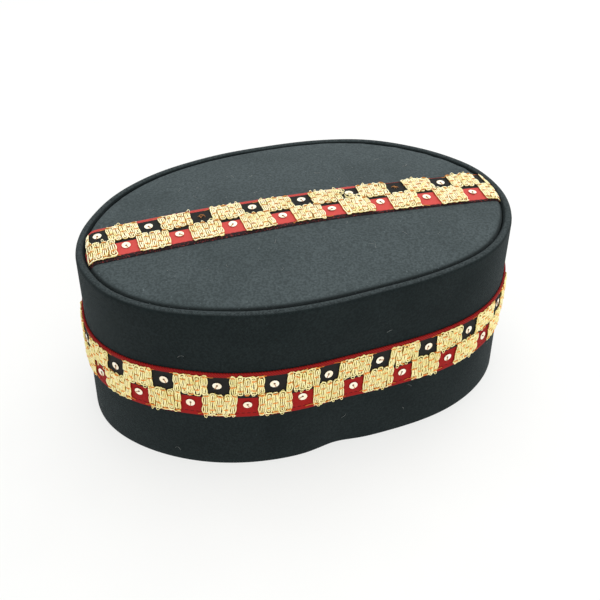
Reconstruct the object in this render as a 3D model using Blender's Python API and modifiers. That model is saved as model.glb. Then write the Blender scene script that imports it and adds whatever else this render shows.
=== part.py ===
# Songkok: an oval black cloth hat with a rolled lip, a domed top panel and a gold-worked ribbon.
# The long axis lies along X, the hat's dented side faces -Y, and the rim rests on z = 0. Metres, +Z up.
import math

import bmesh
import bpy
import numpy as np
from mathutils import Vector

# Outline of the cloth wall at its lip and at its rim
TOP_LENGTH = 0.2162
TOP_WIDTH = 0.1438
TOP_SQUARENESS = 2.07
RIM_LENGTH = 0.2208
RIM_WIDTH = 0.1422
RIM_SQUARENESS = 2.28
HEIGHT = 0.0936

# Cloth thicknesses, and the clearance that neighbouring pieces keep
WALL = 0.0025
PANEL = 0.0020
CLEARANCE = 0.0003

# The lip is the wall's cloth rolled over the top edge, and the panel lies in the ditch inside it
LIP_WIDTH = 0.0041
LIP_HEIGHT = 0.0022
DOME = 0.0040
SHOULDER = 0.035

# The woven ribbon, and the height of its middle line on the wall
RIBBON_WIDTH = 0.0271
RIBBON = 0.0006
RIBBON_HEIGHT = 0.0471
TOP_RIBBON_SHIFT = -0.0003

# The ribbon's pattern: two rows of gold patches, half a repeat apart, meeting corner to corner
REPEAT = 0.0249
GOLD_SHARE = 0.61
SELVEDGE = 0.0022
ROW_LINE = 0.0007
GOLD = 0.0009
SIDE_PHASE = -0.24
TOP_PHASE = 0.12

# Sequins sit on the squares between the patches
SEQUIN_DIAMETER = 0.0044
SEQUIN = 0.0004
SEQUIN_SIDES = 10
UPPER_SEQUINS = 0.0064
LOWER_SEQUINS = -0.0053
BARE_TOP_SQUARES = (-2, 2)

# Dents pushed into the outline, and bulges where a share is negative.
# Columns: angle and spread in degrees, depth at the lip and at the rim as shares of the half-width there,
# and how fast the rim's depth fades upwards.
DENTS = (
    (-80, 22, 0.045, 0.065, 1.0),
    (-90, 6.5, 0.000, 0.032, 2.3),
    (154, 28.5, 0.0275, 0.017, 1.0),
    (65, 21, -0.044, 0.000, 1.0),
    (-139, 26, -0.0275, 0.026, 1.0),
    (-43, 15, -0.022, 0.0045, 1.0),
    (74, 69, -0.024, 0.000, 1.0),
)

# Where the panel's rings lie, as shares of the way from its middle to its edge
PANEL_RINGS = (0.35, 0.70, 1 - SHOULDER, 1.0)
PANEL_COLUMNS = 72

LIP_BASE = HEIGHT - LIP_HEIGHT


def clear_scene():
    for thing in list(bpy.data.objects):
        bpy.data.objects.remove(thing, do_unlink=True)


def collection(name):
    group = bpy.data.collections.new(name)
    bpy.context.scene.collection.children.link(group)
    return group


def material(name, colour, roughness, metallic=0.0):
    made = bpy.data.materials.new(name)
    made.use_nodes = True
    shader = made.node_tree.nodes["Principled BSDF"]
    shader.inputs["Base Color"].default_value = (*colour, 1)
    shader.inputs["Roughness"].default_value = roughness
    shader.inputs["Metallic"].default_value = metallic
    return made


def half_sizes(up, inset):
    """Half-length, half-width and squareness of the outline, from the rim (up = 0) to the lip (up = 1)."""
    length = RIM_LENGTH + (TOP_LENGTH - RIM_LENGTH) * up
    width = RIM_WIDTH + (TOP_WIDTH - RIM_WIDTH) * up
    square = RIM_SQUARENESS + (TOP_SQUARENESS - RIM_SQUARENESS) * up
    return length / 2 - inset, width / 2 - inset, square


def dented_radius(angle, up, square):
    """Radius of the rounded oval as a share of its half sizes, with the dents taken off."""
    cos, sin = np.abs(np.cos(angle)), np.abs(np.sin(angle))
    radius = (cos**square + sin**square) ** (-1 / square)
    left = 1.0
    for at, spread, at_lip, at_rim, fade in DENTS:
        turn = (np.degrees(angle) - at + 180) % 360 - 180
        low = (1 - up) ** fade
        left = left - np.exp(-((turn / spread) ** 2)) * (at_lip * (1 - low) + at_rim * low)
    return radius * left


def outline(angle, z, inset=0.0):
    """Point of the wall's outer face at an angle and a height, moved inwards by inset."""
    up = min(1.0, z / LIP_BASE)
    along, across, square = half_sizes(up, inset)
    radius = dented_radius(angle, up, square)
    return np.array([along * radius * np.cos(angle), across * radius * np.sin(angle), z + 0 * angle])


def angles_by_length(z, steps=1440):
    """Angles round the outline, and the length along it from the front, at -Y, to each of them."""
    angle = np.radians(np.linspace(-90, 270, steps + 1))
    points = outline(angle, z)
    run = np.hypot(np.diff(points[0]), np.diff(points[1]))
    return angle, np.concatenate([[0], np.cumsum(run)])


ANGLES, LENGTHS = angles_by_length(RIBBON_HEIGHT)
SIDE_REPEATS = round(LENGTHS[-1] / REPEAT)
SIDE_REPEAT = LENGTHS[-1] / SIDE_REPEATS


def whole(repeats, across):
    return True


def station_shares():
    """Columns in one repeat: the edges of both rows' patches, and the middle of each patch."""
    edge = (1 - GOLD_SHARE) / 2
    return (0, edge, 0.5 - edge, 0.5, 0.5 + edge, 1 - edge)


def is_gold(repeats, across):
    """Whether the ribbon has gold at a place, in repeats from a black square's middle and metres across."""
    place = (repeats if across > ROW_LINE else repeats + 0.5) % 1
    edge = (1 - GOLD_SHARE) / 2
    return edge < place < 1 - edge


def side_angle(repeats):
    """Angle on the wall of a place counted in repeats from the front, with the pattern's shift."""
    length = ((repeats + SIDE_PHASE) * SIDE_REPEAT) % LENGTHS[-1]
    return float(np.interp(length, LENGTHS, ANGLES))


def panel_half_sizes():
    along, across, square = half_sizes(1.0, LIP_WIDTH + CLEARANCE)
    return along, across, square


def panel_share(x, y):
    """How far a place is from the panel's middle towards its edge, from 0 to 1."""
    along, across, square = panel_half_sizes()
    angle = np.arctan2(y / across, x / along)
    return np.hypot(x / along, y / across) / dented_radius(angle, 1.0, square)


def panel_height(share):
    """Height of the panel's upper face: out of the ditch over a shoulder, then up the dome."""
    rise = LIP_HEIGHT * np.minimum(1, (1 - share) / SHOULDER)
    return LIP_BASE + rise + DOME * (1 - share**2)


def panel_edge_x(y, side, share):
    """Where a line across the hat at y meets the panel's edge, or the ring at a share of it."""
    along, across, square = panel_half_sizes()
    angle = np.radians(np.linspace(-90, 90, 361))
    if side < 0:
        angle = math.pi - angle
    radius = share * dented_radius(angle, 1.0, square)
    return float(np.interp(y, across * radius * np.sin(angle), along * radius * np.cos(angle)))


def hat_middle():
    """Middle of the box round the side gold work, which stands out furthest of all the pieces."""
    lift = CLEARANCE + RIBBON + CLEARANCE + GOLD
    lines = [RIBBON_HEIGHT + across for across in (-RIBBON_WIDTH / 2, RIBBON_WIDTH / 2 - SELVEDGE)]
    places = np.concatenate([outline(ANGLES, z, -lift) for z in lines], axis=1)
    return (places.min(axis=1) + places.max(axis=1)) / 2


def add_stand(group):
    """An empty that every piece hangs from, moved so that the hat's middle is over the origin."""
    stand = bpy.data.objects.new("songkok_stand", None)
    group.objects.link(stand)
    x, y, _ = hat_middle()
    stand.location = (-x, -y, 0)
    return stand


def add_object(name, mesh, group, finish):
    made = bpy.data.objects.new(name, mesh)
    group.objects.link(made)
    made.parent = bpy.data.objects["songkok_stand"]
    mesh.materials.append(finish)
    return made


def mesh_from(bm, name):
    mesh = bpy.data.meshes.new(name)
    bm.to_mesh(mesh)
    bm.free()
    mesh.shade_smooth()
    mesh.set_sharp_from_angle(angle=math.radians(40))
    return mesh


def add_ring(bm, points):
    verts = [bm.verts.new(point) for point in points]
    return [bm.edges.new((a, b)) for a, b in zip(verts, verts[1:] + verts[:1])]


def bridge(bm, rings, closed):
    pairs = list(zip(rings, rings[1:]))
    if closed:
        pairs.append((rings[-1], rings[0]))
    for low, high in pairs:
        bmesh.ops.bridge_loops(bm, edges=low + high)


def wall_section():
    """The wall's section as insets and heights: up the outside, over the lip and down the inside."""
    half_ribbon = RIBBON_WIDTH / 2
    low, high = RIBBON_HEIGHT - half_ribbon, RIBBON_HEIGHT + half_ribbon
    section = [(0, z) for z in (0, low / 2, low, high, LIP_BASE)]
    for turn in (45, 90, 135, 180):
        roll = math.radians(turn)
        section.append((LIP_WIDTH / 2 * (1 - math.cos(roll)), LIP_BASE + LIP_HEIGHT * math.sin(roll)))
    under = LIP_BASE - PANEL - CLEARANCE
    section.append((LIP_WIDTH, under))
    section.append((WALL, under - (LIP_WIDTH - WALL)))
    section += [(WALL, z) for z in (low, 0)]
    return section


def make_side_wall(group, finish):
    """Wall and rolled lip as one hollow solid, open below and inside."""
    places = range(SIDE_REPEATS)
    angles = [side_angle(k + share) for k in places for share in station_shares()]
    bm = bmesh.new()
    rings = [add_ring(bm, [outline(a, z, inset) for a in angles]) for inset, z in wall_section()]
    bridge(bm, rings, closed=True)
    bmesh.ops.recalc_face_normals(bm, faces=bm.faces)
    return add_object("side_wall", mesh_from(bm, "side_wall"), group, finish)


def thicken(thing, thickness, offset):
    shell = thing.modifiers.new("thickness", "SOLIDIFY")
    shell.thickness = thickness
    shell.offset = offset
    shell.use_even_offset = True
    return shell


def make_top_panel(group, finish):
    """The domed panel: rings round its middle, given the cloth's thickness downwards."""
    along, across, square = panel_half_sizes()
    angles = np.linspace(0, 2 * math.pi, PANEL_COLUMNS, endpoint=False)
    radius = dented_radius(angles, 1.0, square)
    bm = bmesh.new()
    rings = []
    for share in PANEL_RINGS:
        height = panel_height(share)
        points = [
            (share * along * r * math.cos(a), share * across * r * math.sin(a), height)
            for a, r in zip(angles, radius)
        ]
        rings.append(add_ring(bm, points))
    bridge(bm, rings, closed=False)
    middle = bm.verts.new((0, 0, panel_height(0)))
    for edge in rings[0]:
        bm.faces.new((middle, *edge.verts))
    bmesh.ops.recalc_face_normals(bm, faces=bm.faces)
    upward = sum((face.normal * face.calc_area() for face in bm.faces), Vector())
    if upward.z < 0:
        bmesh.ops.reverse_faces(bm, faces=bm.faces)
    panel = add_object("top_panel", mesh_from(bm, "top_panel"), group, finish)
    thicken(panel, PANEL, -1)
    return panel


def make_strip(name, columns, rows, place, kept, group, finish):
    """A sheet of cells between columns and rows, bent to its place, without the cells that aren't kept."""
    bm = bmesh.new()
    across, up = len(columns) - 1, len(rows) - 1
    bmesh.ops.create_grid(bm, x_segments=across, y_segments=up, size=0.5)
    layer = {}
    for vert in bm.verts:
        layer[vert] = (round((vert.co.x + 0.5) * across), round((vert.co.y + 0.5) * up))
    spare = []
    for face in bm.faces:
        column = min(layer[v][0] for v in face.verts)
        row = min(layer[v][1] for v in face.verts)
        if not kept((columns[column] + columns[column + 1]) / 2, (rows[row] + rows[row + 1]) / 2):
            spare.append(face)
    for vert, (column, row) in layer.items():
        vert.co = place(columns[column], rows[row])
    bmesh.ops.delete(bm, geom=spare, context="FACES")
    bmesh.ops.remove_doubles(bm, verts=bm.verts, dist=CLEARANCE / 10)
    return add_object(name, mesh_from(bm, name), group, finish)


def side_place(offset):
    """Gives the place on the wall, lifted outwards, of repeats along and metres up the ribbon."""
    return lambda repeats, up: outline(side_angle(repeats), RIBBON_HEIGHT + up, -offset)


def top_ends():
    """The top ribbon's end lines as repeats along its middle: the panel's edge and shoulder at each end."""
    lines = ((-1, 1.0), (-1, 1 - SHOULDER), (1, 1 - SHOULDER), (1, 1.0))
    return {panel_edge_x(TOP_RIBBON_SHIFT, *line) / REPEAT - TOP_PHASE: line for line in lines}


def top_columns():
    """Repeats along the top ribbon: its end lines, and the pattern's own columns between them."""
    half = RIBBON_WIDTH / 2
    edges = (TOP_RIBBON_SHIFT - half, TOP_RIBBON_SHIFT + half)
    left = max(panel_edge_x(y, -1, 1 - SHOULDER) for y in edges) + LIP_WIDTH / 2
    right = min(panel_edge_x(y, 1, 1 - SHOULDER) for y in edges) - LIP_WIDTH / 2
    reach = math.ceil(TOP_LENGTH / REPEAT / 2) + 1
    own = [k + share for k in range(-reach, reach) for share in station_shares()]
    return sorted([r for r in own if left < (r + TOP_PHASE) * REPEAT < right] + list(top_ends()))


def top_gold(columns):
    """Gives where the top ribbon has gold. Its last patch or square at each end runs on under the lip."""
    narrow = GOLD_SHARE - 0.5
    first, last = columns[2] - narrow / 2, columns[-3] + narrow / 2
    return lambda repeats, across: is_gold(min(max(repeats, first), last), across)


def top_rows(back):
    """Lines along the top ribbon, from its front edge over the line between its rows to the back."""
    low = -RIBBON_WIDTH / 2
    return (low, (low + ROW_LINE) / 2, ROW_LINE, (ROW_LINE + back) / 2, back)


def top_place(offset):
    """Gives the place on the panel, lifted, of repeats along and metres across the ribbon."""
    ends = top_ends()

    def place(repeats, across):
        y = TOP_RIBBON_SHIFT + across
        x = panel_edge_x(y, *ends[repeats]) if repeats in ends else (repeats + TOP_PHASE) * REPEAT
        return Vector((x, y, panel_height(panel_share(x, y)) + offset))

    return place


def make_sequins(name, places, place, cutters, finish):
    """Round sequins that sink into the ribbon's cloth and stand a little proud of it."""
    bm = bmesh.new()
    depth = RIBBON / 2 + SEQUIN
    radius = SEQUIN_DIAMETER / 2
    beside = radius / REPEAT
    for repeats, across in places:
        middle = Vector(place(repeats, across))
        along = Vector(place(repeats + beside, across)) - Vector(place(repeats - beside, across))
        upwards = Vector(place(repeats, across + radius)) - Vector(place(repeats, across - radius))
        out = along.cross(upwards).normalized()
        turned = out.to_track_quat("Z", "Y").to_matrix().to_4x4()
        turned.translation = middle + out * (RIBBON + SEQUIN - depth / 2)
        bmesh.ops.create_cone(
            bm,
            cap_ends=True,
            segments=SEQUIN_SIDES,
            radius1=radius,
            radius2=radius,
            depth=depth,
            matrix=turned,
        )
    discs = add_object(name, mesh_from(bm, name), cutters, finish)
    discs.hide_render = True
    discs.display_type = "WIRE"
    return discs


def sew_on(ribbon, sequins):
    """Joins the sequins to the ribbon's cloth, so that the whole ribbon is one solid."""
    union = ribbon.modifiers.new("sequins", "BOOLEAN")
    union.operation = "UNION"
    union.solver = "EXACT"
    union.object = sequins


def make_side_ribbon(group, cutters, cloth, gold, shine):
    columns = [k + share for k in range(SIDE_REPEATS) for share in station_shares()]
    columns.append(SIDE_REPEATS)
    half = RIBBON_WIDTH / 2
    ground = side_place(CLEARANCE)
    ribbon = make_strip("side_ribbon", columns, (-half, half), ground, whole, group, cloth)
    thicken(ribbon, RIBBON, 1)
    places = [(k, UPPER_SEQUINS) for k in range(SIDE_REPEATS)]
    places += [(k + 0.5, LOWER_SEQUINS) for k in range(SIDE_REPEATS)]
    sew_on(ribbon, make_sequins("side_sequins", places, ground, cutters, shine))
    rows = (-half, ROW_LINE, half - SELVEDGE)
    above = side_place(CLEARANCE + RIBBON + CLEARANCE)
    work = make_strip("side_gold_work", columns, rows, above, is_gold, group, gold)
    thicken(work, GOLD, 1)


def make_top_ribbon(group, cutters, cloth, gold, shine):
    columns = top_columns()
    half = RIBBON_WIDTH / 2
    ground = top_place(CLEARANCE)
    ribbon = make_strip("top_ribbon", columns, top_rows(half), ground, whole, group, cloth)
    thicken(ribbon, RIBBON, 1)
    margin = SEQUIN_DIAMETER / REPEAT
    halves = range(2 * math.ceil(columns[0]), 2 * math.ceil(columns[-1]))
    places = []
    for k in halves:
        if k / 2 - margin < columns[1] or k / 2 + margin > columns[-2]:
            continue
        if k % 2 == 0 and k // 2 not in BARE_TOP_SQUARES:
            places.append((k / 2, UPPER_SEQUINS))
        if k % 2 == 1:
            places.append((k / 2, LOWER_SEQUINS))
    sew_on(ribbon, make_sequins("top_sequins", places, ground, cutters, shine))
    rows = top_rows(half - SELVEDGE)
    above = top_place(CLEARANCE + RIBBON + CLEARANCE)
    work = make_strip("top_gold_work", columns, rows, above, top_gold(columns), group, gold)
    thicken(work, GOLD, 1)


def main():
    clear_scene()
    group = collection("songkok")
    cutters = collection("sequins_to_join")
    add_stand(group)
    black = material("black_cloth", (0.013, 0.018, 0.020), 0.85)
    panel_black = material("panel_cloth", (0.020, 0.026, 0.028), 0.80)
    red = material("red_ribbon", (0.33, 0.012, 0.016), 0.70)
    gold = material("gold_thread", (0.83, 0.70, 0.36), 0.38, 0.6)
    shine = material("sequin_white", (0.85, 0.82, 0.74), 0.25)
    make_side_wall(group, black)
    make_top_panel(group, panel_black)
    make_side_ribbon(group, cutters, red, gold, shine)
    make_top_ribbon(group, cutters, red, gold, shine)


main()
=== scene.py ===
# %% [markdown]
# A songkok is a stiff oval cap of black cloth. This one has a ribbon of red and black weave
# round its wall and another along its top, both covered with raised patches of gold thread.
# The lesson starts from an exact but plain model of the hat, the frame, and gives every piece
# of it the shape and finish of the real cloth, thread and sequins.

# %% Load the frame
import math

import bpy
import numpy as np
from mathutils import Matrix, Vector


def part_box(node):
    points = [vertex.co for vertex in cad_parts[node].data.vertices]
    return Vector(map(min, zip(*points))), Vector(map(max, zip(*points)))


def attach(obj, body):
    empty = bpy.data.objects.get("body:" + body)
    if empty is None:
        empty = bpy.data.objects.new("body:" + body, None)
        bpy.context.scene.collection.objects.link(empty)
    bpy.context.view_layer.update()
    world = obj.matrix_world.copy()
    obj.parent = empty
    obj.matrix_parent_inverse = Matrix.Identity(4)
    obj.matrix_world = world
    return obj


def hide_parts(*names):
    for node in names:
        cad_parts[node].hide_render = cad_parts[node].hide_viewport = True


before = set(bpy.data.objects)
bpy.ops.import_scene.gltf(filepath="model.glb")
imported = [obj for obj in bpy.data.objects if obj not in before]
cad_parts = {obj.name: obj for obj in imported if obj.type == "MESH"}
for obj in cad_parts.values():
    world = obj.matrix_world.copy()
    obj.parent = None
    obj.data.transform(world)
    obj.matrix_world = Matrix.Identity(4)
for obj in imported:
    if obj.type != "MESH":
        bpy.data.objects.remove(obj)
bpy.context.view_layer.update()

MM = 0.001

# %% [markdown]
# Everything on this hat follows one outline, so the outline comes first. An oval hat could be
# drawn as an ellipse, but a real one has been pushed about: its ends are fuller than an
# ellipse's, its front is flattened, and a dent is pressed into the rim. So the outline is a
# superellipse, whose exponent sets how full it is, with a short table of dents taken off it.
# Lengths are in metres, and angles are counted round the hat from the long axis.

# %% Name the hat's sizes
TOP_LENGTH, TOP_WIDTH, TOP_SQUARENESS = 216.2 * MM, 143.8 * MM, 2.07
RIM_LENGTH, RIM_WIDTH, RIM_SQUARENESS = 220.8 * MM, 142.2 * MM, 2.28
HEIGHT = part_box("side_wall")[1].z
LIP_WIDTH, LIP_HEIGHT = 4.1 * MM, 2.2 * MM
LIP_BASE = HEIGHT - LIP_HEIGHT
WALL, PANEL, CLEARANCE = 2.5 * MM, 2.0 * MM, 0.3 * MM
DOME = 4.0 * MM

# Angle and spread in degrees, depth at the lip and at the rim as shares of the half-width
# there, and how fast the rim's depth fades upwards.
DENTS = (
    (-80, 22, 0.045, 0.065, 1.0),
    (-90, 6.5, 0.000, 0.032, 2.3),
    (154, 28.5, 0.0275, 0.017, 1.0),
    (65, 21, -0.044, 0.000, 1.0),
    (-139, 26, -0.0275, 0.026, 1.0),
    (-43, 15, -0.022, 0.0045, 1.0),
    (74, 69, -0.024, 0.000, 1.0),
)


# %% Draw the outline at any height
def dented(angle, up, square):
    """Radius of the oval as a share of its half sizes, with the dents taken off."""
    cos, sin = np.abs(np.cos(angle)), np.abs(np.sin(angle))
    left = 1.0
    for at, spread, at_lip, at_rim, fade in DENTS:
        turn = (np.degrees(angle) - at + 180) % 360 - 180
        low = (1 - up) ** fade
        left = left - np.exp(-((turn / spread) ** 2)) * (at_lip * (1 - low) + at_rim * low)
    return (cos**square + sin**square) ** (-1 / square) * left


def oval(angle, z, inset=0.0, shift=(0.0, 0.0)):
    """X and Y of the wall's outer face at an angle and a height, moved inwards by inset."""
    up = np.clip(z / LIP_BASE, 0, 1)
    along = (RIM_LENGTH + (TOP_LENGTH - RIM_LENGTH) * up) / 2 - inset
    across = (RIM_WIDTH + (TOP_WIDTH - RIM_WIDTH) * up) / 2 - inset
    radius = dented(angle, up, RIM_SQUARENESS + (TOP_SQUARENESS - RIM_SQUARENESS) * up)
    return along * radius * np.cos(angle) + shift[0], across * radius * np.sin(angle) + shift[1]


# %% Set the outline on the frame
# The frame has the hat's middle over the origin, so the outline is moved to match it.
TURN = np.radians(np.linspace(-90, 270, 1441))
rim_and_lip = [oval(TURN, z) for z in (0.0, LIP_BASE)]
wall_low, wall_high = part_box("side_wall")
MIDDLE = []
for axis in (0, 1):
    line = np.concatenate([edge[axis] for edge in rim_and_lip])
    MIDDLE.append((wall_low[axis] + wall_high[axis]) / 2 - (line.min() + line.max()) / 2)
print("outline moved by, in mm:", [round(m / MM, 2) for m in MIDDLE])

# %% [markdown]
# The ribbon, its patches and its sequins are easiest to design flat, as on a sewing table: one
# number runs along the ribbon, one across it from its middle line, and one out from the cloth.
# Two small functions then lay such flat work on the wall or on the top panel. Bending it with
# a modifier would work too, but a formula puts each stitch exactly where its cloth is.

# %% Name the ribbon's sizes
RIBBON_WIDTH, RIBBON = 27.1 * MM, 0.6 * MM
RIBBON_HEIGHT = 47.1 * MM
TOP_RIBBON_SHIFT = -0.3 * MM
REPEAT, GOLD_SHARE = 24.9 * MM, 0.61
SELVEDGE, ROW_LINE = 2.2 * MM, 0.7 * MM
SIDE_PHASE, TOP_PHASE = -0.24, 0.12
HALF_RIBBON = RIBBON_WIDTH / 2
GROUND = CLEARANCE + RIBBON

# %% Measure the way round the wall
line_x, line_y = oval(TURN, RIBBON_HEIGHT)
LENGTHS = np.concatenate([[0], np.cumsum(np.hypot(np.diff(line_x), np.diff(line_y)))])
AROUND = LENGTHS[-1]
SIDE_REPEATS = round(AROUND / REPEAT)
SIDE_REPEAT = AROUND / SIDE_REPEATS
print("ribbon round the wall:", round(AROUND / MM), "mm,", SIDE_REPEATS, "repeats")

# %% Let it stray
# A ribbon sewn by hand wanders up and down: where along it, how widely and how far, in millimetres.
STRAYS = (
    (455, 26, -1.5),
    (508, 16, 0.7),
    (60, 30, -0.5),
    (150, 40, 0.6),
    (250, 35, -0.7),
    (360, 45, 0.5),
)


def stray(along):
    """How far the ribbon lies above its middle line at a length round the wall."""
    height = 0.0
    for at, spread, lift in STRAYS:
        away = (along / MM - at + AROUND / MM / 2) % (AROUND / MM) - AROUND / MM / 2
        height = height + lift * MM * np.exp(-((away / spread) ** 2))
    return height


# %% Bend it round
def on_wall(flat):
    """Places on the wall of points given as length round it, height up the ribbon, and out."""
    angle = np.interp(flat[..., 0] % AROUND, LENGTHS, TURN)
    z = RIBBON_HEIGHT + flat[..., 1] + stray(flat[..., 0])
    x, y = oval(angle, z, 0, MIDDLE)
    step = 0.002
    ahead, behind = oval(angle + step, z), oval(angle - step, z)
    run_x, run_y = ahead[0] - behind[0], ahead[1] - behind[1]
    run = np.hypot(run_x, run_y)
    out = flat[..., 2]
    return np.stack([x + run_y / run * out, y - run_x / run * out, z], axis=-1)


# %% Lay flat work on the top panel
SHOULDER = 0.045
PANEL_LENGTH = TOP_LENGTH / 2 - LIP_WIDTH - CLEARANCE
PANEL_WIDTH = TOP_WIDTH / 2 - LIP_WIDTH - CLEARANCE


def panel_share(x, y):
    """How far a place is from the panel's middle towards its edge, from 0 to 1."""
    angle = np.arctan2(y / PANEL_WIDTH, x / PANEL_LENGTH)
    return np.hypot(x / PANEL_LENGTH, y / PANEL_WIDTH) / dented(angle, 1.0, TOP_SQUARENESS)


def panel_height(share):
    """Height of the panel: steeply out of the ditch over a round shoulder, then up the dome."""
    rise = 1 - np.clip(1 - (1 - share) / SHOULDER, 0, 1) ** 3
    return LIP_BASE + LIP_HEIGHT * rise + DOME * (1 - share**2)


def panel_edge(y, side):
    """X where a line across the panel at y meets its edge, at the right (1) or the left (-1)."""
    angle = np.radians(np.linspace(-90, 90, 361))
    angle = angle if side > 0 else math.pi - angle
    radius = dented(angle, 1.0, TOP_SQUARENESS)
    return np.interp(y, PANEL_WIDTH * radius * np.sin(angle), PANEL_LENGTH * radius * np.cos(angle))


# The gold work draws the top ribbon in a little near its middle.
TOP_PINCH, TOP_PINCH_AT, TOP_PINCH_SPREAD = 0.06, 10 * MM, 30 * MM


def on_panel(flat):
    """Places on the panel of points given as length from the middle, across the ribbon, and out."""
    pinch = TOP_PINCH * np.exp(-(((flat[..., 0] - TOP_PINCH_AT) / TOP_PINCH_SPREAD) ** 2))
    y = TOP_RIBBON_SHIFT + flat[..., 1] * (1 - pinch)
    x = np.clip(flat[..., 0], panel_edge(y, -1), panel_edge(y, 1))
    z = panel_height(panel_share(x, y)) + flat[..., 2]
    return np.stack([x + MIDDLE[0], y + MIDDLE[1], z], axis=-1)


# %% [markdown]
# Each piece is a skin stretched over rings: the wall's rings are its cross-sections, a thread's
# are small circles. One function joins the rings of many such bodies at once, because numpy
# does in a moment what a loop over thousands of stitches would do slowly. Another turns the
# result into a mesh and notes each point's flat place as a UV map, for the weave to follow.

# %% Skin a row of rings
def skin(rings, closed):
    """Corners and faces of bodies, from an array of body, ring, point on the ring, and X, Y, Z."""
    bodies, count, points, _ = rings.shape
    index = np.arange(bodies * count * points).reshape(bodies, count, points)
    beside = np.roll(index, -1, axis=2)
    if closed:
        corners = (index, np.roll(index, -1, axis=1), np.roll(beside, -1, axis=1), beside)
        return rings.reshape(-1, 3), np.stack(corners, axis=-1).reshape(-1, 4).tolist()
    corners = (index[:, :-1], index[:, 1:], beside[:, 1:], beside[:, :-1])
    faces = np.stack(corners, axis=-1).reshape(-1, 4).tolist()
    faces += index[:, 0].tolist() + index[:, -1, ::-1].tolist()
    return rings.reshape(-1, 3), faces


# %% Make a mesh of it
def add_piece(name, corners, faces, finish, flat=None, around=None):
    """A smooth mesh object. Flat holds its corners' UVs, and U starts again after around."""
    mesh = bpy.data.meshes.new(name)
    mesh.from_pydata(corners.tolist(), [], faces)
    mesh.validate()
    if flat is not None:
        owner = np.zeros(len(mesh.loops), dtype=np.int32)
        mesh.loops.foreach_get("vertex_index", owner)
        uv = flat[owner].astype(np.float64)
        if around:
            start = np.array([polygon.loop_start for polygon in mesh.polygons])
            highest = np.repeat(np.maximum.reduceat(uv[:, 0], start), np.diff([*start, len(uv)]))
            uv[:, 0] += around * (highest - uv[:, 0] > around / 2)
        layer = mesh.uv_layers.new(name="flat")
        layer.data.foreach_set("uv", uv.astype(np.float32).ravel())
    mesh.shade_smooth()
    mesh.materials.append(finish)
    thing = bpy.data.objects.new(name, mesh)
    bpy.context.scene.collection.objects.link(thing)
    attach(thing, "root")
    triangles = sum(len(polygon.vertices) - 2 for polygon in mesh.polygons)
    print(name, len(mesh.vertices), "corners,", triangles, "triangles")
    return thing


# %% Roll threads round their paths
def threads(paths, radius, sides, closed):
    """Rings of round threads along flat paths, an array of thread, point, and place."""
    if closed:
        along = np.roll(paths, -1, axis=1) - np.roll(paths, 1, axis=1)
    else:
        along = np.gradient(paths, axis=1)
    along /= np.linalg.norm(along, axis=2, keepdims=True)
    side = np.cross(along, (0.0, 0.0, 1.0))
    side /= np.maximum(np.linalg.norm(side, axis=2, keepdims=True), 1e-9)
    lift = np.cross(side, along)
    turn = np.arange(sides) * 2 * math.pi / sides
    wide = np.broadcast_to(np.asarray(radius), paths.shape[:2])[:, :, None, None]
    spoke = np.cos(turn)[:, None] * side[:, :, None] + np.sin(turn)[:, None] * lift[:, :, None]
    return paths[:, :, None] + wide * spoke


def thread_flat(paths, sides):
    """UV of each corner of such threads: length along the thread, and share of the way round."""
    step = np.linalg.norm(np.diff(paths, axis=1), axis=2)
    length = np.concatenate([np.zeros((len(paths), 1)), np.cumsum(step, axis=1)], axis=1)
    length = length + np.arange(len(paths))[:, None] * 0.1
    flat = np.zeros((*paths.shape[:2], sides, 2))
    flat[..., 0] = length[:, :, None]
    flat[..., 1] = np.arange(sides) / sides
    return flat.reshape(-1, 2)


def add_threads(name, paths, radius, sides, closed, lay, finish):
    """One object of many threads, laid on their cloth."""
    corners, faces = skin(threads(paths, radius, sides, closed), closed)
    return add_piece(name, lay(corners), faces, finish, thread_flat(paths, sides))


# %% [markdown]
# Now the finishes. A material is a small sum: this much weave, plus that much wear. Blender
# writes such sums as chains of Math nodes, which are slow to read. A class that wraps a node's
# output and overloads Python's operators lets the sum be written as a sum. Colours don't go
# through Math nodes, which would turn them grey, so mixing two colours has its own method.

# %% Wrap a node's output so that it can be added and multiplied
class Wire:
    """A number on its way through a material's nodes."""

    def __init__(self, finish, socket):
        self.finish = finish
        self.socket = socket

    def math(self, operation, *others):
        """A Math node on this number and any others."""
        inputs = dict(enumerate((self, *others)))
        return self.finish.node("ShaderNodeMath", {"operation": operation}, inputs)

    def __add__(self, other):
        return self.math("ADD", other)

    def __mul__(self, other):
        return self.math("MULTIPLY", other)

    def __sub__(self, other):
        return self.math("SUBTRACT", other)

    def __rsub__(self, other):
        return self.finish.node("ShaderNodeMath", {"operation": "SUBTRACT"}, {0: other, 1: self})

    def __gt__(self, other):
        return self.math("GREATER_THAN", other)

    def __lt__(self, other):
        return self.math("LESS_THAN", other)

    __radd__ = __add__
    __rmul__ = __mul__

    def wave(self, period):
        """Rises and falls between 0 and 1 once in every period."""
        return (self * (2 * math.pi / period)).math("SINE") * 0.5 + 0.5

    def above(self, level, soft):
        """0 below a level and 1 above it, with a soft edge."""
        edges = {"Value": self, "From Min": level - soft, "From Max": level + soft}
        return self.finish.node("ShaderNodeMapRange", {"interpolation_type": "SMOOTHSTEP"}, edges)

    def within(self, low, high, soft):
        """1 between low and high, 0 outside, with soft edges."""
        return self.above(low, soft) - self.above(high, soft)


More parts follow.
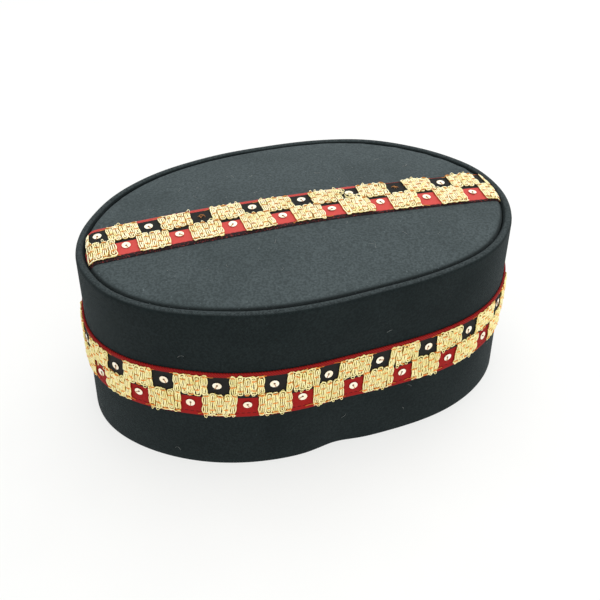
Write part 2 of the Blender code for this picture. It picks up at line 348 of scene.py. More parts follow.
# %% Build a material one node at a time
class Finish:
    """A Principled material. Fixed values go on its own sockets, and what varies is wired in."""

    def __init__(self, name, fixed):
        self.material = bpy.data.materials.new(name)
        self.material.use_nodes = True
        self.tree = self.material.node_tree
        self.shader = self.tree.nodes["Principled BSDF"]
        for socket, value in fixed.items():
            self.shader.inputs[socket].default_value = value

    def node(self, kind, settings=None, inputs=None, output=0):
        """Adds a node, sets it up, fills its sockets with values or wires, and gives an output."""
        made = self.tree.nodes.new(kind)
        for key, value in (settings or {}).items():
            setattr(made, key, value)
        for key, value in (inputs or {}).items():
            if isinstance(value, Wire):
                self.tree.links.new(value.socket, made.inputs[key])
            else:
                made.inputs[key].default_value = value
        return Wire(self, made.outputs[output])

    def feed(self, **wires):
        """Wires what varies into the shader's own sockets."""
        for name, wire in wires.items():
            self.tree.links.new(wire.socket, self.shader.inputs[name.replace("_", " ")])

    def mix(self, share, first, second):
        """A colour on its way from first to second."""
        pair = {0: share, 6: first, 7: second}
        return self.node("ShaderNodeMix", {"data_type": "RGBA"}, pair, output=2)

    def flat(self):
        """The flat place on the cloth, in metres: along and across."""
        uv = self.node("ShaderNodeUVMap", {"uv_map": "flat"})
        parts = {"Vector": uv}
        along = self.node("ShaderNodeSeparateXYZ", None, parts, output=0)
        return along, self.node("ShaderNodeSeparateXYZ", None, parts, output=1)

    def place(self):
        """The place on the object, as a vector."""
        return self.node("ShaderNodeTexCoord", output=3)

    def height(self, lean):
        """The height above the rim, in metres, from a plane that may lean towards the back."""
        parts = {"Vector": self.place()}
        depth = self.node("ShaderNodeSeparateXYZ", None, parts, output=1)
        return self.node("ShaderNodeSeparateXYZ", None, parts, output=2) + depth * lean

    def noise(self, size, detail):
        """Cloudy noise of about that size, in metres, fixed to the object."""
        inputs = {"Vector": self.place(), "Scale": 1 / size, "Detail": detail}
        return self.node("ShaderNodeTexNoise", {"normalize": True}, inputs)

    def bump(self, height, depth):
        """A surface roughened by a height between 0 and 1, where 1 stands depth metres proud."""
        inputs = {"Strength": 1.0, "Distance": depth, "Height": height}
        return self.node("ShaderNodeBump", None, inputs)


# %% [markdown]
# The hat's cloth is a close black twill. Seen near to, it has fine diagonal ribs, and it shows
# a little of everything it has touched: pale lint, and a bloom where it has been rubbed. It
# isn't quite black either, but a very dark blue green. Its soft sheen comes from short fibres
# that stand off the cloth, which the shader's sheen stands for. Light and shade are also painted
# into the colour by height: the top of the lip is painted pale, a painted highlight where light
# from above falls on it, while the panel's edge is painted dark deep in the ditch, a painted
# shade that reaches further at the front than at the back.

# %% Black cloth
TWILL_RIB, YARN, SLUB, LINT_SPECK, BLOOM = 0.85 * MM, 0.42 * MM, 1.1 * MM, 0.9 * MM, 22 * MM
TWILL_DEPTH, RAGGED = 0.12 * MM, 0.5 * MM


def black_cloth(name, colour, bloom, edge, painted_edge_colour, lean, soft):
    """Twill painted in the edge colour between two heights from a leaning plane, as painted light
    or shade.
    """
    fixed = {
        "Specular IOR Level": 0.11,
        "Sheen Weight": 0.05,
        "Sheen Roughness": 0.45,
        "Sheen Tint": (0.62, 0.78, 0.82, 1),
    }
    cloth = Finish(name, fixed)
    along, across = cloth.flat()
    twill = (along + across).wave(TWILL_RIB)
    yarn = (along - across * 0.35).wave(YARN)
    slub = cloth.noise(SLUB, detail=3)
    cloudy = cloth.noise(BLOOM, detail=3)
    lint = cloth.noise(LINT_SPECK, detail=2).above(0.72, 0.03)
    # Painted light and shade: between the edge heights the cloth takes the edge colour, pale on the
    # lip as a painted highlight and dark in the seam as painted shade.
    at_edge = (cloth.height(lean) + slub * RAGGED).within(*edge, soft)
    body = cloth.mix(cloudy.above(0.42, 0.22) * 0.7, (*colour, 1), (*bloom, 1))
    edge_painted_light = cloth.mix(at_edge, body, (*painted_edge_colour, 1))
    thick = slub.above(0.5, 0.12)
    ribbed = cloth.mix(twill * 0.3 + thick * 0.45, edge_painted_light, (*[c * 0.4 for c in colour], 1))
    cloth.feed(
        Base_Color=cloth.mix(lint * 0.35, ribbed, (*[c * 3.2 for c in bloom], 1)),
        Roughness=0.72 + slub * 0.18,
        Normal=cloth.bump(twill * 0.5 + yarn * 0.2 + slub * 0.6, TWILL_DEPTH),
    )
    return cloth.material


# %% Paint light on the lip and shade in the seam
# Painted highlight: the top of the lip is painted nearly as pale as the panel, for the light that
# falls on it from above.
wall_cloth = black_cloth(
    "wall_cloth",
    colour=(0.0050, 0.0094, 0.0096),
    bloom=(0.0105, 0.0162, 0.0164),
    edge=(LIP_BASE + 1.9 * MM, HEIGHT + 5 * MM),
    painted_edge_colour=(0.042, 0.053, 0.054),
    lean=0.0,
    soft=0.35 * MM,
)
# The panel is the wall's cloth painted many times paler, as painted light for the light on the top.
# Its edge colour is painted shade in the ditch, and the leaning plane makes that shade reach
# further at the front.
panel_cloth = black_cloth(
    "panel_cloth",
    colour=(0.049, 0.063, 0.064),
    bloom=(0.068, 0.085, 0.087),
    edge=(0.0, LIP_BASE + 1.3 * MM),
    painted_edge_colour=(0.010, 0.014, 0.014),
    lean=0.012,
    soft=0.55 * MM,
)
print("cloths:", wall_cloth.name, panel_cloth.name)

# %% [markdown]
# The wall is one strip of stiffened cloth. At the bottom its edge is folded under, and at the
# top it rolls inwards over the edge of the stiffening to make the lip. A Solidify modifier
# gives a wall of one thickness, but not that roll, so the wall is swept: its section goes up
# the outside, over the lip and down the inside, and is repeated round the outline. Hand-sewn
# cloth is never quite true, so the outline also wanders by a few tenths of a millimetre.

# %% Draw the wall's section
FOLD = 0.9 * MM


def wall_section():
    """Insets and heights, from the rim up the outside, over the lip and down the inside."""
    section = [(WALL / 2, 0.0)]
    for turn in np.radians(np.linspace(0, 90, 6)):
        section.append((FOLD * (1 - math.sin(turn)), FOLD * (1 - math.cos(turn))))
    section += [(0.0, z) for z in np.linspace(FOLD, LIP_BASE, 46)[1:]]
    for turn in np.radians(np.linspace(0, 180, 17)[1:]):
        inset = LIP_WIDTH / 2 * (1 - math.cos(turn))
        section.append((inset, LIP_BASE + LIP_HEIGHT * math.sin(turn)))
    under = LIP_BASE - PANEL - CLEARANCE
    section += [(LIP_WIDTH, under), (WALL, under - LIP_WIDTH + WALL)]
    section += [(WALL, z) for z in np.linspace(under - LIP_WIDTH, FOLD, 12)]
    section.append((WALL - FOLD / 2, 0.0))
    return np.array(section)


# %% Let the outline wander
LIP_WANDER, RIM_WANDER = 0.16 * MM, 0.12 * MM


def wander(angle, z):
    """How far hand-sewn cloth strays inwards, strongest at the lip and gone at the ribbon."""
    near_lip = (z - RIBBON_HEIGHT - HALF_RIBBON) / (LIP_BASE - RIBBON_HEIGHT - HALF_RIBBON)
    near_lip = np.clip(near_lip, 0, 1)
    near_rim = np.clip(1 - z / (RIBBON_HEIGHT - HALF_RIBBON), 0, 1)
    slow = np.sin(5 * angle + 0.6) + 0.7 * np.sin(9 * angle + 2.0) + 0.4 * np.sin(17 * angle)
    return LIP_WANDER * slow * near_lip + RIM_WANDER * np.sin(7 * angle + 1.0) * near_rim


# %% Sweep the wall
WALL_COLUMNS = 560
section = wall_section()
turn = np.linspace(0, 2 * math.pi, WALL_COLUMNS, endpoint=False)[:, None]
inset, height = section[:, 0][None], section[:, 1][None] + 0 * turn
wall_x, wall_y = oval(turn, height, inset + wander(turn, height), MIDDLE)
corners, faces = skin(np.stack([wall_x, wall_y, height], axis=-1)[None], closed=True)
climb = np.cumsum(np.hypot(*np.diff(section, axis=0, prepend=section[:1]).T))
length_round = np.interp(turn + 0 * climb, TURN + math.pi / 2, LENGTHS)
wall_flat = np.stack([length_round, climb + 0 * turn], axis=-1)
wall = add_piece("cloth_wall", corners, faces, wall_cloth, wall_flat.reshape(-1, 2), AROUND)
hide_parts("side_wall")

# %% [markdown]
# The top panel is an oval of the same cloth, sewn in under the lip. Its seam pulls it down into
# a ditch all round, and the sewing thread gathers it a little, so its edge has small puckers
# that die away within a finger's breadth. Rings round the middle suit this shape better than
# a square grid, because they can crowd together at the edge, where the cloth bends.

# %% Pucker the panel's edge
PANEL_COLUMNS = 480
PUCKER, PUCKER_REACH, SEWN = 0.16 * MM, 0.045, 0.015
SLACK = 0.12 * MM


def puckers(angle, share):
    """Ripples of the panel's edge where its seam gathers it, as a height."""
    near = np.exp(-(1 - share) / PUCKER_REACH) * (1 - np.clip((share - 1 + SEWN) / SEWN, 0, 1))
    ripple = np.sin(38 * angle + 2.2 * np.sin(3 * angle)) + 0.6 * np.sin(61 * angle + 1.0)
    return PUCKER * near * ripple * (0.6 + 0.4 * np.sin(2 * angle + 0.7))


# %% Sew in the panel
def panel_rings(lower):
    """Rings of one face of the panel, from its middle to its edge, lowered or not."""
    shares = 1 - np.concatenate([np.linspace(0, 0.06, 13), np.linspace(0.09, 0.97, 24)])
    shares = shares[::-1][:, None]
    angle = np.linspace(0, 2 * math.pi, PANEL_COLUMNS, endpoint=False)[None]
    radius = shares * dented(angle, 1.0, TOP_SQUARENESS)
    x, y = PANEL_LENGTH * radius * np.cos(angle), PANEL_WIDTH * radius * np.sin(angle)
    soft = SLACK * np.sin(x / (17 * MM)) * np.sin(y / (13 * MM) + 1)
    z = panel_height(shares) + 0 * angle + puckers(angle, shares) + soft * (1 - shares) - lower
    return np.stack([x + MIDDLE[0], y + MIDDLE[1], z], axis=-1)


upper, under = panel_rings(0.0), panel_rings(PANEL)
rings = np.concatenate([upper, under[::-1]])[None]
corners, faces = skin(rings[:, ::-1], closed=False)
panel = add_piece("cloth_panel", corners, faces, panel_cloth, corners[:, :2])
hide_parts("top_panel")

# %% [markdown]
# The ribbon is woven red, with a black band let in along its upper half. The red shows as a
# narrow selvedge above the black and as a broad stripe below it, where a row of stitches holds
# a hem. Its ribs run across it, as in any ribbon. One material can hold all of this, because
# the flat map says how far across the ribbon each point is.

# %% Ribbon weave
BAND_LOW, BAND_HIGH = -1.6 * MM, HALF_RIBBON - SELVEDGE
HEM_LINE, HEM_SEAM = -HALF_RIBBON + 2.3 * MM, 0.25 * MM
HEM_END, HEM_DROP, HEM_FADE = 33 * MM, 1.2 * MM, 5 * MM
WEAVE_RIB, WEFT, HEM_STITCH, TICK = 0.55 * MM, 0.38 * MM, 2.6 * MM, 1.3 * MM


def ribbon_weave(name, red, dark_red, hem_red, hem_end):
    """Weave whose hem grows narrow past a length along the ribbon."""
    weave = Finish(name, {"Specular IOR Level": 0.15})
    along, across = weave.flat()
    ribs = along.wave(WEAVE_RIB)
    fine = across.wave(WEFT)
    slub = weave.noise(0.7 * MM, detail=3)
    black = across.within(BAND_LOW, BAND_HIGH, 0.10 * MM)
    from_edge = across + along.above(hem_end, HEM_FADE) * HEM_DROP
    hem = from_edge.within(HEM_LINE - HEM_SEAM, HEM_LINE + HEM_SEAM, 0.12 * MM)
    stitch = hem * (along.wave(HEM_STITCH) > 0.35)
    below = (from_edge < HEM_LINE) * (slub.within(0.2, 0.62, 0.08) * 0.5 + 0.5)
    reds = weave.mix(ribs * 0.35 + slub * 0.45, (*red, 1), (*dark_red, 1))
    hemmed = weave.mix(below, reds, (*hem_red, 1))
    stitched = weave.mix(stitch * 0.75, hemmed, (*[c * 0.25 for c in dark_red], 1))
    ticks = (across > BAND_HIGH) * ((along + across).wave(TICK) > 0.6)
    ticked = weave.mix(ticks * 0.6, stitched, (*[c * 0.4 for c in dark_red], 1))
    weave.feed(
        Base_Color=weave.mix(black, ticked, (0.0100, 0.0100, 0.0090, 1)),
        Roughness=0.62 + slub * 0.2,
        Normal=weave.bump(ribs * 0.5 + fine * 0.3 + slub * 0.3 - hem * 0.9, 0.10 * MM),
    )
    return weave.material


# %% Weave both ribbons
# Round the wall the hem never narrows, so its end lies past the ribbon's.
side_reds = (0.33, 0.007, 0.005), (0.18, 0.003, 0.002), (0.26, 0.005, 0.004)
# The top ribbon's reds are the side ribbon's reds painted paler, as painted light for the light on
# the top. On top the hem below the stitch line is coloured nearly black.
top_reds = (0.56, 0.074, 0.062), (0.40, 0.038, 0.032), (0.010, 0.005, 0.006)
side_weave = ribbon_weave("side_weave", *side_reds, 2 * AROUND)
top_weave = ribbon_weave("top_weave", *top_reds, HEM_END)
print("ribbons:", side_weave.name, top_weave.name)


# %% Give the ribbon its section
BAND_RISE, CORD_RISE, HEM_DEPTH, STEP_WIDTH = 0.12 * MM, 0.30 * MM, 0.15 * MM, 0.4 * MM


def ribbon_section(roll):
    """The ribbon's section as across and out, from its front edge, rolled down or not, and back."""
    across = np.linspace(-HALF_RIBBON, HALF_RIBBON, 41)
    band = np.clip((across - BAND_LOW) / STEP_WIDTH, 0, 1) * (across < BAND_HIGH)
    cord = np.sqrt(np.clip(1 - ((across - BAND_HIGH - SELVEDGE / 2) / (SELVEDGE / 2)) ** 2, 0, 1))
    groove = np.exp(-(((across - HEM_LINE) / STEP_WIDTH) ** 2))
    rolled = roll * np.clip((HEM_LINE - across) / (HALF_RIBBON + HEM_LINE), 0, 1) ** 2
    face = GROUND + BAND_RISE * band + CORD_RISE * cord - HEM_DEPTH * groove - rolled
    back = np.linspace(HALF_RIBBON, -HALF_RIBBON, 5)
    low = CLEARANCE * 0.5
    return np.concatenate([np.stack([across, face], 1), np.stack([back, low + 0 * back], 1)])


def ribbon_rings(section, starts, ends, columns):
    """Rings of the ribbon between two end lines, each given for every point of the section."""
    share = np.linspace(0, 1, columns)[:, None]
    along = (starts + (ends - starts) * share) + 0 * section[:, 0]
    section = np.broadcast_to(section, (columns, *section.shape))
    return np.concatenate([along[..., None], section], axis=-1)[None]


# %% [markdown]
# On top, towards the right, the far selvedge has been tucked under as the ribbon was sewn, so
# its red line fades out there. The mesh keeps every point and only brings those past the new
# edge back to it.

# %% Sew on the ribbons
TUCK_START, TUCK_LENGTH = 30 * MM, 8 * MM
EDGE_ROLL = 0.45 * MM
REPEAT_COLUMNS, TOP_COLUMNS = 24, 260
side_columns = SIDE_REPEATS * REPEAT_COLUMNS + 1
side_rings = ribbon_rings(ribbon_section(0.0), 0.0, AROUND, side_columns)
side_flat, faces = skin(side_rings[:, :-1], closed=True)
corners = on_wall(side_flat)
side_ribbon = add_piece("ribbon_round_wall", corners, faces, side_weave, side_flat[:, :2], AROUND)
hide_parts("side_ribbon")

# %% Tuck in the top one
top_section = ribbon_section(EDGE_ROLL)
across = TOP_RIBBON_SHIFT + top_section[:, 0]
top_rings = ribbon_rings(top_section, panel_edge(across, -1), panel_edge(across, 1), TOP_COLUMNS)
top_flat, faces = skin(top_rings, closed=False)
tucked = SELVEDGE * np.clip((top_flat[:, 0] - TUCK_START) / TUCK_LENGTH, 0, 1)
lying = top_flat.copy()
lying[:, 1] = np.minimum(lying[:, 1], HALF_RIBBON - tucked)
top_ribbon = add_piece("ribbon_over_top", on_panel(lying), faces, top_weave, top_flat[:, :2])
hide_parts("top_ribbon")

# %% [markdown]
# The gold work is laid thread: a metal-wrapped strand is run up and down over the ribbon and
# caught at each bundle's waist by a short orange stitch, a technique called couching. Where a
# stitch pulls a bundle in, its neighbours bulge, and the patch looks like basket work. The
# patches form two rows, half a repeat apart, so that they meet corner to corner. Painting
# this on would fail at the edges, where each bundle ends in a loop that one can see through.
# So each bundle is built as nested loops of real thread, narrowed and lowered at its stitches.

# %% Gold thread, its orange stitches and the padding below
def gold_thread(name, side, colour, bright_colour):
    """Metallic thread, painted pale along its crown as a highlight and deeper down its sides as
    shade.
    """
    gold = Finish(name, {"Metallic": 0.25, "Specular IOR Level": 0.6})
    along, around = gold.flat()
    twist = (along * (1 / (0.9 * MM)) + around).wave(1.0)
    bright = gold.noise(1.3 * MM, detail=3)
    crumple = gold.noise(0.55 * MM, detail=2)
    creased = crumple.above(0.5, 0.12)
    tarnish = gold.noise(9 * MM, detail=2)
    pale = gold.mix(bright.above(0.42, 0.10), (*colour, 1), (*bright_colour, 1))
    # Painted highlight and shade: the crown of the thread, facing out, is pale and its sides are
    # deeper.
    crown = around.within(0.09, 0.41, 0.07)
    crown_lit_sides_shaded = gold.mix(crown, (*side, 1), pale)
    aged = gold.mix(tarnish.above(0.55, 0.10) * 0.4, crown_lit_sides_shaded, (0.80, 0.73, 0.24, 1))
    # Painted shade: the colour darkens towards orange brown in the dips of the crumples and between
    # the twists.
    gold.feed(
        Base_Color=gold.mix(twist * 0.1 + (1 - creased) * 0.30, aged, (0.64, 0.36, 0.050, 1)),
        Roughness=0.26 + crumple * 0.3,
        Normal=gold.bump(twist * 0.4 + crumple * 2.0, 0.13 * MM),
    )
    return gold.material


def dyed_thread(name, colour, twist_shade_and_dye):
    """Plain sewing thread, with painted shade between its twists and darker where it is unevenly
    dyed.
    """
    thread = Finish(name, {"Roughness": 0.6, "Specular IOR Level": 0.3})
    along, around = thread.flat()
    twist = (along * (1 / (0.7 * MM)) + around).wave(1.0)
    uneven = thread.noise(3 * MM, detail=2).above(0.5, 0.15)
    thread.feed(
        Base_Color=thread.mix(twist * 0.3 + uneven * 0.6, (*colour, 1), (*twist_shade_and_dye, 1)),
        Normal=thread.bump(twist, 0.05 * MM),
    )
    return thread.material


# %% Dye the threads
side_golds = (0.95, 0.73, 0.18), (0.98, 0.87, 0.33), (1.0, 1.0, 0.60)
# The top's gold is the side's thread painted paler, as painted light for the light on the top.
top_golds = (0.98, 0.72, 0.14), (1.0, 0.96, 0.42), (1.0, 1.0, 0.78)
gold_finish = gold_thread("gold_thread", *side_golds)
top_gold_finish = gold_thread("top_gold_thread", *top_golds)
orange_finish = dyed_thread("orange_thread", (0.86, 0.24, 0.022), (0.56, 0.22, 0.030))
top_orange_finish = dyed_thread("top_orange_thread", (0.64, 0.24, 0.030), (0.42, 0.16, 0.024))
brown_finish = dyed_thread("brown_thread", (0.50, 0.22, 0.060), (0.26, 0.09, 0.020))
# The knot is the sequin stitch's brown thread, painted darker as the shade inside the sequin's
# hole.
knot_finish = dyed_thread("knot_thread", (0.16, 0.085, 0.030), (0.06, 0.030, 0.012))
# The padding is a real pad, coloured dark so that the gaps between the gold threads show painted
# shade.
padding_finish = dyed_thread("gold_padding", (0.52, 0.27, 0.040), (0.16, 0.07, 0.010))
print("golds:", gold_finish.name, top_gold_finish.name)

# %% List the patches
EDGE = (1 - GOLD_SHARE) / 2
UPPER_ROW = (ROW_LINE - 0.5 * MM, BAND_HIGH + 0.6 * MM, 0.0)
LOWER_ROW = (1.3 * MM - HALF_RIBBON, ROW_LINE + 0.6 * MM, 0.5)
LEAST_PATCH = 3 * MM


def patches(repeat, phase, first, last, left=None, right=None):
    """Every gold patch as left, right, low and high, in metres on the flat ribbon."""
    found = []
    for low, high, offset in (UPPER_ROW, LOWER_ROW):
        for k in range(first, last):
            start = (k + EDGE - offset + phase) * repeat
            end = start + GOLD_SHARE * repeat
            if left is not None:
                middle = (low + high) / 2
                start, end = max(start, left(middle)), min(end, right(middle))
            if end - start > LEAST_PATCH:
                found.append((start, end, low, high))
    return found


side_patches = patches(SIDE_REPEAT, SIDE_PHASE, 0, SIDE_REPEATS)
LIP_GAP = 0.35 * MM
top_patches = patches(
    REPEAT,
    TOP_PHASE,
    first=-6,
    last=6,
    left=lambda across: panel_edge(TOP_RIBBON_SHIFT + across, -1) + LIP_GAP,
    right=lambda across: panel_edge(TOP_RIBBON_SHIFT + across, 1) - LIP_GAP,
)

# %% Reach down past the hem, and fill the ends
REACH_DOWN = 0.9 * MM


def reaching(patch):
    """The same patch, brought nearly to the ribbon's edge if it lies low and past the wide hem."""
    start, end, low, high = patch
    past_hem = low < 0 and start > HEM_END
    return start, end, low - REACH_DOWN * past_hem, high


def end_strip(side, gap, wide):
    """The last narrow strip of the upper row, along the lip at the right (1) or the left (-1)."""
    edge = panel_edge(TOP_RIBBON_SHIFT + BAND_HIGH / 2, side)
    start, end = sorted((edge - side * gap, edge - side * (gap + wide)))
    return start, end, ROW_LINE + 0.4 * MM, BAND_HIGH - 0.2 * MM


top_patches = [reaching(patch) for patch in top_patches]
top_patches += [end_strip(-1, 0.3 * MM, 1.6 * MM), end_strip(1, 0.6 * MM, 2.4 * MM)]
print(len(side_patches), "patches round the wall,", len(top_patches), "along the top")

# %% Shape one loop of thread
BUNDLE, STITCH_STEP = 3.1 * MM, 2.85 * MM
LOOP_SIDE, LOOP_END = 9, 5

# Half the thickness of each kind of thread.
STRAND, COUCHING, EDGE_STRAND = 0.35 * MM, 0.28 * MM, 0.26 * MM
LOOSE_STRAND, RUNNING = 0.17 * MM, 0.14 * MM


def loop_shape():
    """A racetrack as three numbers a point: across, along its sides, and round its ends."""
    side = np.linspace(-1, 1, LOOP_SIDE)
    bend = np.radians(np.linspace(0, 180, LOOP_END + 2)[1:-1])
    right = np.stack([1 + 0 * side, side, 0 * side], 1)
    square = np.sign(np.cos(bend)) * np.abs(np.cos(bend)) ** 0.7
    top = np.stack([square, 1 + 0 * bend, np.sin(bend) ** 0.7], 1)
    return np.concatenate([right, top, right * (-1, -1, 1), top * (-1, -1, -1)])


LOOP = loop_shape()


# %% Lay the bundles of a patch
def patch_bundles(patch, rng):
    """Middle, low and high end, stitch places, width and lean of each bundle in a patch."""
    start, end, low, high = patch
    count = max(1, round((end - start) / BUNDLE))
    step = (end - start) / count
    bundles = []
    patch_lean = rng.normal(0, 0.05)
    for j in range(count):
        middle = start + (j + 0.5) * step + rng.normal(0, 0.12 * MM)
        reach = rng.normal(0.15 * MM, 0.35 * MM, 2).clip(-0.4 * MM, 0.9 * MM)
        centre = (low + high) / 2 + rng.normal(0, 0.25 * MM)
        odd = j % 2
        marks = [centre + (2 * i + odd) * STITCH_STEP for i in range(-2, 3)]
        marks = [m for m in marks if low + 0.1 * MM < m < high - 0.1 * MM]
        lean = patch_lean + rng.normal(0, 0.04)
        bundles.append((middle, low - reach[0], high + reach[1], marks, step, lean))
    return bundles


# %% Pull a bundle in at its stitches
WAIST = 1.05 * MM


def squeeze(across, marks):
    """How much the stitches pull a bundle in at each place: 1 at a stitch and 0 between them."""
    pull = np.zeros_like(across)
    for mark in marks:
        pull = np.maximum(pull, np.exp(-(((across - mark) / WAIST) ** 2)))
    return pull


# %% Loop the thread of a bundle
# Half-width of each nested loop as a share of its bundle's, and how far the loop is lifted.
NESTED = (0.42, 0.0), (0.15, 0.16 * MM)
CROWN, WAIST_DROP, END_DROP, END_LENGTH = 0.85 * MM, 0.42 * MM, 0.30 * MM, 1.6 * MM


def bundle_loops(bundle, rng):
    """Two nested loops of thread that make one bundle, as flat paths."""
    middle, low, high, marks, step, lean = bundle
    loops = []
    for share, lift in NESTED:
        wide = share * step * rng.uniform(0.88, 1.10)
        shorter = max(0, 0.36 * step - wide) * 1.8
        centre, tall = (low + high) / 2, (high - low) / 2 - STRAND - shorter
        across = centre + (tall - wide) * LOOP[:, 1] + wide * LOOP[:, 2]
        pull = squeeze(across, marks)
        crumple = 0.12 * MM * np.sin(across / (0.9 * MM) + LOOP[:, 0] * 2 + rng.uniform(0, 6))
        sway = lean * (across - centre) + crumple * (0.5 + 0.5 * np.sin(across / (2.3 * MM)))
        bulge = 0.08 * np.sin(across / (1.1 * MM) + rng.uniform(0, 6, 1) + 2 * LOOP[:, 0])
        along = middle + wide * LOOP[:, 0] * (1 - 0.26 * pull + bulge) + sway
        ends = np.clip((np.abs(across - centre) - tall + END_LENGTH) / END_LENGTH, 0, 1)
        crown = CROWN - WAIST_DROP * pull - END_DROP * ends**2 + lift * (1 - pull)
        out = GROUND + crown + 0.07 * MM * np.cos(across / (0.7 * MM) + rng.uniform(0, 6))
        loops.append(np.stack([along, across, out], 1))
    return loops


# %% Stitch a bundle down
def couching(bundle, rng):
    """The short stitches that cross a bundle at its waists, as flat paths."""
    middle, low, high, marks, step, lean = bundle
    arch = np.linspace(-1, 1, 7)
    found = []
    for mark in marks:
        wide = 0.45 * step * rng.uniform(0.75, 1.12)
        slant = rng.normal(0, 0.28)
        along = middle + lean * (mark - (low + high) / 2) + arch * wide
        across = mark + arch * wide * slant
        out = GROUND + 0.10 * MM + 0.82 * MM * (1 - arch**4)
        found.append(np.stack([along, across, out], 1))
    return found


# %% [markdown]
# Such work is never tidy near to. Some strands slip and stand out from their bundles as small
# open loops, and the orange thread runs from one patch's corner to the next on its way. These
# accidents are few beside the bundles, but a patch without them looks stamped by a machine.

# %% Let some strands slip out
def slipped(bundle, rng):
    """Thin loops that stand out past a bundle's ends here and there, as flat paths."""
    middle, low, high, _, _, lean = bundle
    bend = np.radians(np.linspace(-30, 210, 9))
    found = []
    for end, way in ((high, 1), (low, -1)):
        if rng.random() > 0.55:
            continue
        wide, tall = rng.uniform(0.4, 1.0) * MM, rng.uniform(0.4, 1.1) * MM
        skew = rng.normal(0, 0.35)
        across = end + way * (tall * np.sin(bend) - 0.2 * MM)
        shift = lean * (end - (low + high) / 2) + rng.normal(0, 0.5) * MM
        along = middle + wide * np.cos(bend) + skew * (across - end) + shift
        out = GROUND + 0.40 * MM + rng.uniform(0.1, 0.5) * MM * (1 + np.sin(bend))
        found.append(np.stack([along, across, out], 1))
    return found


# %% Carry a strand along the outer edge
def edge_strand(patch, rng):
    """The strand that runs on from bundle to bundle at a patch's outer edge, as a flat path."""
    start, end, low, high = patch
    outer, inward = (high, -1) if low + high > 2 * ROW_LINE else (low, 1)
    step = np.linspace(0, 1, 33)
    first, second = rng.uniform(0, 6, 2)
    along = start + 0.5 * MM + (end - start - 1.0 * MM) * step
    wavy = 0.20 * np.sin(19 * step + first) + 0.12 * np.sin(43 * step + second)
    across = outer + (wavy + 0.1 * inward) * MM
    out = GROUND + 0.62 * MM + 0.16 * MM * np.sin(31 * step + second)
    return np.stack([along, across, out], 1)


# %% Run the orange thread on from some corners
def run_on(patch, rng):
    """Orange thread that leaves a patch's corners for the next, as flat paths on the ribbon."""
    start, end, low, high = patch
    step = np.linspace(0, 1, 9)
    found = []
    for x, side in ((start, -1), (end, 1)):
        for y, way in ((low + 0.7 * MM, -1), (high - 0.7 * MM, 1)):
            if rng.random() > 0.5:
                continue
            reach, climb = rng.uniform(1.5, 4.0) * MM, rng.uniform(-0.2, 0.9) * MM * way
            along = x + side * (step * reach - 0.5 * MM)
            across = y + climb * step + 0.25 * MM * np.sin(3 * step + rng.uniform(0, 3))
            out = GROUND + 0.13 * MM + 0.5 * MM * np.exp(-((step / 0.2) ** 2))
            found.append(np.stack([along, across, out], 1))
    return found


# %% Pad the patches
PAD_RISE = np.array([0.1, 0.35, 0.42, 0.42, 0.35, 0.1]) * MM
PAD_SUNK, PAD_MARGIN = 0.1 * MM, 1.2 * MM


def padding(found):
    """A low pad under each patch, seen as dark old gold between the threads, a colour that is
    partly painted shade in those gaps.
    """
    rings = []
    share = np.linspace(0, 1, 10)
    count = len(PAD_RISE)
    for start, end, low, high in found:
        side = min(PAD_MARGIN, 0.3 * (end - start))
        low, high = low + side, high - side
        across = np.concatenate([np.linspace(low, high, count), np.linspace(high, low, count)])
        out = GROUND + np.concatenate([PAD_RISE, np.full(count, -PAD_SUNK)])
        along = start + side + (end - start - 2 * side) * share
        ring = np.zeros((len(share), len(across), 3))
        ring[..., 0] = along[:, None]
        ring[..., 1] = across
        ring[..., 2] = out
        rings.append(ring)
    return np.array(rings)


# %% Sew the gold work
def sew_gold(name, found, lay, node, seed, gold, orange):
    """All the gold work of one ribbon, laid on its cloth."""
    rng = np.random.default_rng(seed)
    bundles = [bundle for patch in found for bundle in patch_bundles(patch, rng)]
    loops = np.array([loop for bundle in bundles for loop in bundle_loops(bundle, rng)])
    stitches = np.array([stitch for bundle in bundles for stitch in couching(bundle, rng)])
    slips = np.array([slip for bundle in bundles for slip in slipped(bundle, rng)])
    runs = np.array([run for patch in found for run in run_on(patch, rng)])
    edges = np.array([edge_strand(patch, rng) for patch in found])
    pad, faces = skin(padding(found), closed=False)
    pieces = [
        add_threads(f"{name}_loops", loops, STRAND, 5, True, lay, gold),
        add_threads(f"{name}_couching", stitches, COUCHING, 6, False, lay, orange),
        add_threads(f"{name}_edge_strands", edges, EDGE_STRAND, 5, False, lay, gold),
        add_threads(f"{name}_slipped_loops", slips, LOOSE_STRAND, 5, False, lay, gold),
        add_threads(f"{name}_running_thread", runs, RUNNING, 5, False, lay, orange),
        add_piece(f"{name}_padding", lay(pad), faces, padding_finish, pad[:, :2]),
    ]
    for made in pieces:
        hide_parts(node)


side_finishes, top_finishes = (gold_finish, orange_finish), (top_gold_finish, top_orange_finish)
sew_gold("side_gold", side_patches, on_wall, "side_gold_work", 3, *side_finishes)
sew_gold("top_gold", top_patches, on_panel, "top_gold_work", 8, *top_finishes)

# %% [markdown]
# Every square between the patches has a sequin: a thin cupped disc of pearly plastic with a
# hole, held by one stitch from the hole over its edge. A flat disc would catch the light all
# at once. A cupped one has a bright side and a shaded side, and that is what makes it sparkle.

# %% Pearly plastic
def pearl():
    """Plastic with a clouded, glossy skin."""
    shell = Finish("sequin_pearl", {"Specular IOR Level": 0.6, "Coat Roughness": 0.12})
    cloudy = shell.noise(2.5 * MM, detail=2)
    shell.feed(
        Base_Color=shell.mix(cloudy.above(0.45, 0.2), (0.95, 0.90, 0.78, 1), (0.88, 0.74, 0.52, 1)),
        Roughness=0.22 + cloudy * 0.2,
        Coat_Weight=cloudy * 0.6,
    )
    return shell.material


pearl_finish = pearl()

